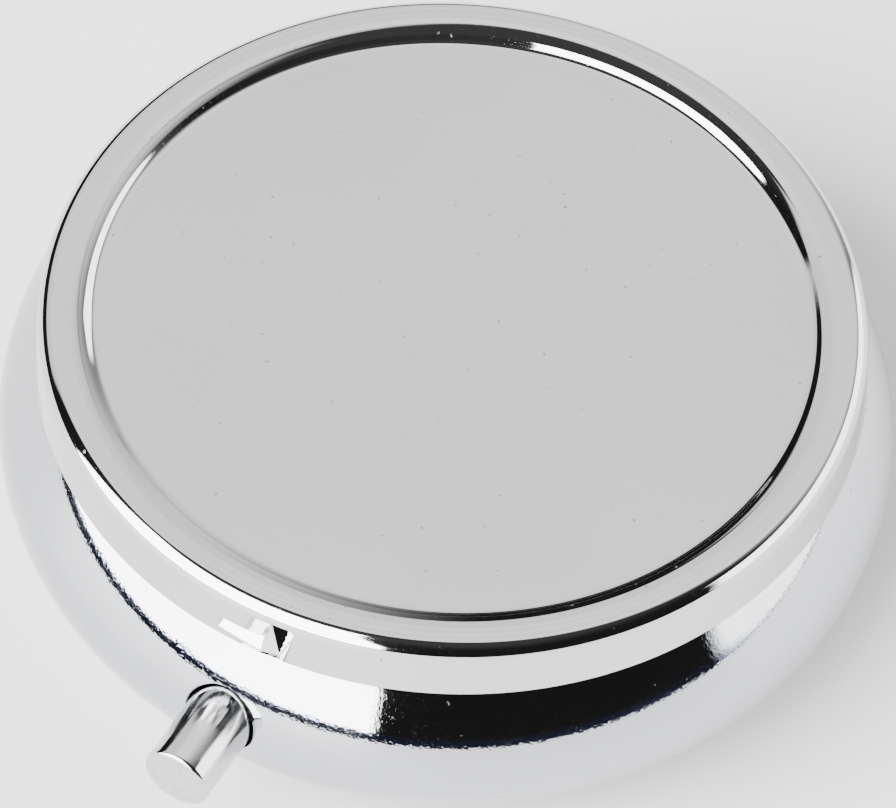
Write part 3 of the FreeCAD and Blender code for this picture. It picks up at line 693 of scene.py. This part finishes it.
def make_world():
    """The studio: a pale wash behind and above, a tall softbox on the left, a low one on the right, and the
    dark room behind the camera."""
    world = bpy.data.worlds.new("studio")
    bpy.context.scene.world = world
    world.use_nodes = True
    nodes = Nodes(world.node_tree)
    way = nodes.add("ShaderNodeTexCoord").outputs["Generated"]
    ahead, right = nodes.dot(way, TOWARDS), nodes.dot(way, RIGHTWARDS)
    rise = nodes.dot(way, (0, 0, 1))
    azimuth = nodes.math("DEGREES", nodes.math("ARCTAN2", right, ahead))
    height = nodes.math("DEGREES", nodes.math("ARCSINE", rise))

    def product(*given):
        """All the values multiplied. The first is a socket."""
        result = given[0]
        for factor in given[1:]:
            result = nodes.math("MULTIPLY", result, factor)
        return result

    def fade(given, edge, soft, falling=False):
        """A soft step at an edge, rising or falling. The edge may be a number or a socket."""
        away = nodes.math("SUBTRACT", given, edge)
        return nodes.smooth(away, -soft, soft, 1.0 if falling else 0.0, 0.0 if falling else 1.0)

    def slanted(low, high, first, last, given):
        """A value that goes evenly from first to last while given goes from low to high."""
        node = nodes.add("ShaderNodeMapRange", {"Value": given, "From Min": low, "From Max": high,
                                                "To Min": first, "To Max": last})
        return node.outputs[0]

    # The wash: overhead and behind, with a darker hollow. Its edge is softer towards the right.
    rightwards = nodes.math("MAXIMUM", right, 0.0)
    bowed = nodes.math("ADD", ahead, product(rightwards, right, BOW_RIGHT))
    bowed = nodes.math("ADD", bowed, product(nodes.math("MINIMUM", right, 0.0), BOW_LEFT))
    reach_out = nodes.math("ADD", WASH_END, nodes.math("MULTIPLY", rightwards, WASH_SPREAD))
    node = nodes.add("ShaderNodeMapRange", {"Value": bowed, "From Min": WASH_FULL, "From Max": reach_out,
                                            "To Min": 1.0, "To Max": 0.0}, interpolation_type="SMOOTHSTEP")
    wash = product(node.outputs[0], nodes.math("MAXIMUM", nodes.smooth(height, 20.0, 27.0),
                                               nodes.smooth(right, -0.05, 0.3)))
    hollow = product(fade(azimuth, 122.0, 6.0), fade(azimuth, 152.0, 14.0, True),
                     fade(height, 41.0, 11.0, True))
    glow = slanted(44.0, 61.0, 1.62, 2.12, height)
    level = product(wash, glow, nodes.math("SUBTRACT", 1.0, nodes.math("MULTIPLY", hollow, HOLLOW_DEPTH)))

    # The tall softbox on the left: its top slants, and its right edge leans away from the camera.
    lean = slanted(22.0, 80.0, -11.0, -28.0, height)
    tall = product(fade(azimuth, -94.5, 1.2), fade(azimuth, lean, 1.2, True), fade(height, 3.2, 0.7),
                   fade(height, slanted(-85.0, -40.0, 57.0, 68.0, azimuth), 1.5, True))
    # The low panel on the right.
    low = product(fade(azimuth, slanted(10.0, 34.0, 67.0, 72.0, height), 3.0),
                  fade(azimuth, 140.0, 2.0, True), fade(height, 0.5, 1.0),
                  fade(height, slanted(76.0, 125.0, 37.5, 31.0, azimuth), 0.8, True))
    for share, strength in ((tall, SOFTBOX_STRENGTH), (low, PANEL_STRENGTH)):
        level = nodes.math("MAXIMUM", level, nodes.math("MULTIPLY", share, strength))
    level = nodes.math("ADD", level, nodes.smooth(height, 35.0, 75.0, *ROOM_LEVELS))

    # A dark navy strip along the horizon in front, fading out towards the right.
    strip = product(fade(height, 3.2, 1.0, True), fade(azimuth, -96.0, 14.0), fade(azimuth, 66.0, 14.0, True))
    level = nodes.math("ADD", nodes.math("MULTIPLY", level, nodes.math("SUBTRACT", 1.0, strip)),
                       nodes.math("MULTIPLY", strip, STRIP_LEVEL))
    colour = nodes.mix(strip, (1.0, 1.0, 1.0, 1), NAVY)
    background = nodes.add("ShaderNodeBackground", {"Color": colour, "Strength": level})
    output = nodes.add("ShaderNodeOutputWorld")
    nodes.tree.links.new(background.outputs[0], output.inputs["Surface"])


make_camera()
make_floor()
make_world()
